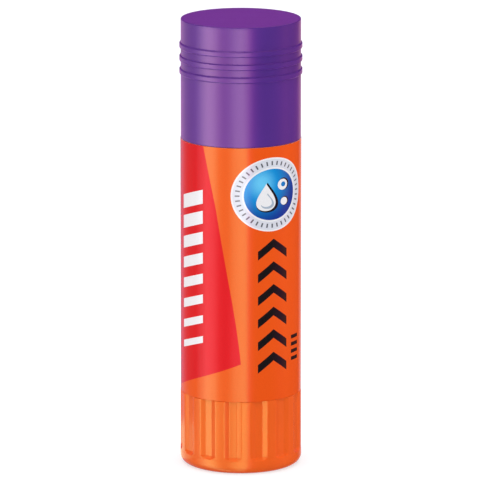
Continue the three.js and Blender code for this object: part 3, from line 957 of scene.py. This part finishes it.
def printedSheet(left, right, low, high, regions):  # triangles of the flat print, each with its region
    points, edges, faces = [], [], []

    def addLoop(outline):
        first = len(points)
        points.extend(Vector((x / mm, y / mm)) for x, y in outline)
        return list(range(first, first + len(outline)))

    faces.append(addLoop([(left, low), (right, low), (right, high), (left, high)]))
    strip = math.radians(label["strip"]) * label["radius"]
    for i in range(math.ceil(left / strip), math.floor(right / strip) + 1):
        if left < i * strip < right:
            edges.append(addLoop([(i * strip, low), (i * strip, high)]))
    for _, outline in regions:
        faces.append(addLoop(outline[::-1] if clockwise(outline) else outline))
    found = delaunay_2d_cdt(points, edges, faces, 0, label["join"])
    spots = [(point.x * mm, point.y * mm) for point in found[0]]
    triangles = [(corners, max(sources)) for corners, sources in zip(found[2], found[5]) if 0 in sources]
    return spots, triangles


def buildLabel():
    low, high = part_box("label")
    radius, bottom, top = label["radius"], low.z - label["bottomDrop"], high.z + label["topRise"]
    left, right = math.radians(label["seamStart"]) * radius, math.pi * radius
    flapStart = right - math.radians(label["flapWidth"]) * radius
    regions = [(name, [(x, min(max(y, bottom), top)) for x, y in outline]) for name, outline in labelRegions()]
    spots, triangles = printedSheet(left, right, bottom, top, regions)
    total = len(spots)
    slots = [0] + [labelInks.index(name) for name, _ in regions]
    plain = labelInks.index("white")

    def wrapped(x, height, onFront):
        out = label["backRadius"]
        if onFront:
            out = radius + label["flapRise"] * min(1, max(0, (x - flapStart) / label["flapStep"]))
        return roundStick(x / radius, out, height)

    def onEdge(axis, value):  # the points on one edge of the sheet, in order along it
        near = [i for i in range(total) if abs(spots[i][axis] - value) < label["edgeReach"]]
        return sorted(near, key=lambda i: spots[i][1 - axis])

    vertices = [wrapped(*spot, onFront) for onFront in (True, False) for spot in spots]
    faces = [tuple(corners) for corners, _ in triangles]
    faces += [tuple(total + corner for corner in reversed(corners)) for corners, _ in triangles]
    fills = [slots[source] for _, source in triangles] + [plain] * len(triangles)
    for line in (onEdge(1, bottom), onEdge(1, top)):
        for a, b in zip(line, line[1:] + line[:1]):
            faces.append((a, b, total + b, total + a))
            fills.append(plain)
    start, end = onEdge(0, left), onEdge(0, right)
    for offset in (0, total):
        faces.append((offset + end[0], offset + start[0], offset + start[-1], offset + end[-1]))
        fills.append(0)

    mesh = bpy.data.meshes.new("labelWrap")
    mesh.from_pydata(vertices, [], faces)
    for name in labelInks:
        mesh.materials.append(films[name])
    mesh.polygons.foreach_set("material_index", fills)
    reshape(mesh, faceOut)
    mesh.shade_smooth()
    normals = []  # the front is shaded as a true cylinder, and the rest as flat faces
    for polygon in mesh.polygons:
        for corner in polygon.vertices:
            x, y, _ = vertices[corner]
            onFront = polygon.index < len(triangles)
            normals.append(Vector((x, y, 0)).normalized() if onFront else polygon.normal.copy())
    mesh.normals_split_custom_set(normals)
    handOver("labelWrap", mesh, "barrel", ["label"])


buildLabel()


# Repeated print: rows and rings of bars, laid out flat and wrapped on the label by one tree

def buildMarkTree():
    tree, given = newTree("wrappedMarks", {
        "count": 8, "pitch": 0.004, "length": 0.006, "width": 0.002, "widthChange": 0.0, "slant": 0.0,
        "chevron": 0.0, "ringRadius": 0.0, "stretch": 1.0, "azimuth": 0.0, "height": 0.05, "filmRadius": 0.013,
        "thickness": 0.00003, "pieces": 12,
    })
    add, less, times, over = sums(tree)
    bar = addNode(tree, "GeometryNodeMeshCube", {
        "Size": (1, 1, 1), "Vertices X": given["pieces"], "Vertices Y": 2, "Vertices Z": 2,
    }).outputs["Mesh"]
    index = addNode(tree, "GeometryNodeInputIndex").outputs[0]
    spots = addNode(tree, "GeometryNodeMeshLine", {"Count": given["count"], "Offset": (0, 0, 0)}).outputs[0]
    around = times(over(index, given["count"]), 2 * math.pi)
    inRing = calc(tree, "GREATER_THAN", given["ringRadius"])
    inRow = less(1.0, inRing)
    x = times(given["ringRadius"], calc(tree, "COSINE", around))
    rising = times(times(index, given["pitch"]), inRow)
    y = add(rising, times(given["ringRadius"], calc(tree, "SINE", around)))
    placed = addNode(tree, "GeometryNodeSetPosition", {"Geometry": spots, "Position": combine(tree, x, y)}).outputs[0]
    wide = add(given["width"], times(given["widthChange"], index))
    bars = addNode(tree, "GeometryNodeInstanceOnPoints", {
        "Points": placed, "Instance": bar, "Rotation": combine(tree, z=times(around, inRing)),
        "Scale": combine(tree, given["length"], wide, given["thickness"]),
    }).outputs[0]
    real = addNode(tree, "GeometryNodeRealizeInstances", {0: bars}).outputs[0]

    flatX, flatY, flatZ = separate(tree, addNode(tree, "GeometryNodeInputPosition").outputs[0])
    share = over(flatX, times(given["length"], 0.5))
    lean = times(times(share, given["slant"]), inRow)
    bend = times(times(calc(tree, "ABSOLUTE", share), given["chevron"]), inRow)
    height = add(add(flatY, given["height"]), less(lean, bend))
    angle = add(given["azimuth"], over(times(flatX, given["stretch"]), given["filmRadius"]))
    wrapped = bendRound(tree, real, add(given["filmRadius"], flatZ), angle, height)
    endTree(tree, wrapped, given["material"])
    return tree


markTree = buildMarkTree()
markThickness = 0.03 * mm  # half of it is sunk in the film
marks = {
    "badgeTicks": {
        "colour": "tick", "count": 40, "length": 0.9 * mm, "width": 0.3 * mm, "ringRadius": 6.85 * mm,
        "stretch": badge["stretch"], "azimuth": math.radians(badge["azimuth"]), "height": badge["height"],
        "pieces": 3,
    },
    "paleBars": {
        "colour": "white", "count": 8, "pitch": 4.5 * mm, "length": 7.2 * mm, "width": 1.5 * mm,
        "widthChange": 0.22 * mm, "slant": 1.1 * mm, "azimuth": math.radians(-54.5), "height": 28.4 * mm,
        "pieces": 13,
    },
    "arrowBars": {
        "colour": "ink", "count": 6, "pitch": 5.0 * mm, "length": 7.4 * mm, "width": 1.9 * mm,
        "chevron": 2.6 * mm, "azimuth": math.radians(32.5), "height": 26.0 * mm, "pieces": 15,
    },
    "smallBars": {
        "colour": "ink", "count": 4, "pitch": 1.6 * mm, "length": 2.8 * mm, "width": 0.8 * mm,
        "azimuth": math.radians(62.0), "height": 24.6 * mm, "pieces": 6,
    },
    "backLines": {
        "colour": "tick", "count": 14, "pitch": 2.1 * mm, "length": 8.6 * mm, "width": 0.42 * mm,
        "azimuth": math.radians(136.0), "height": 30.4 * mm, "pieces": 13,
    },
}


def buildMarks():
    for name, mark in marks.items():
        seed = bpy.data.meshes.new(name + "Seed")
        seed.from_pydata([(0, 0, 0)], [], [])
        mesh = shapeWith(markTree, name, seed, dict(
            mark, filmRadius=label["radius"], thickness=markThickness, material=films[mark["colour"]],
        ))
        makePiece(name, [mesh], "barrel")


buildMarks()
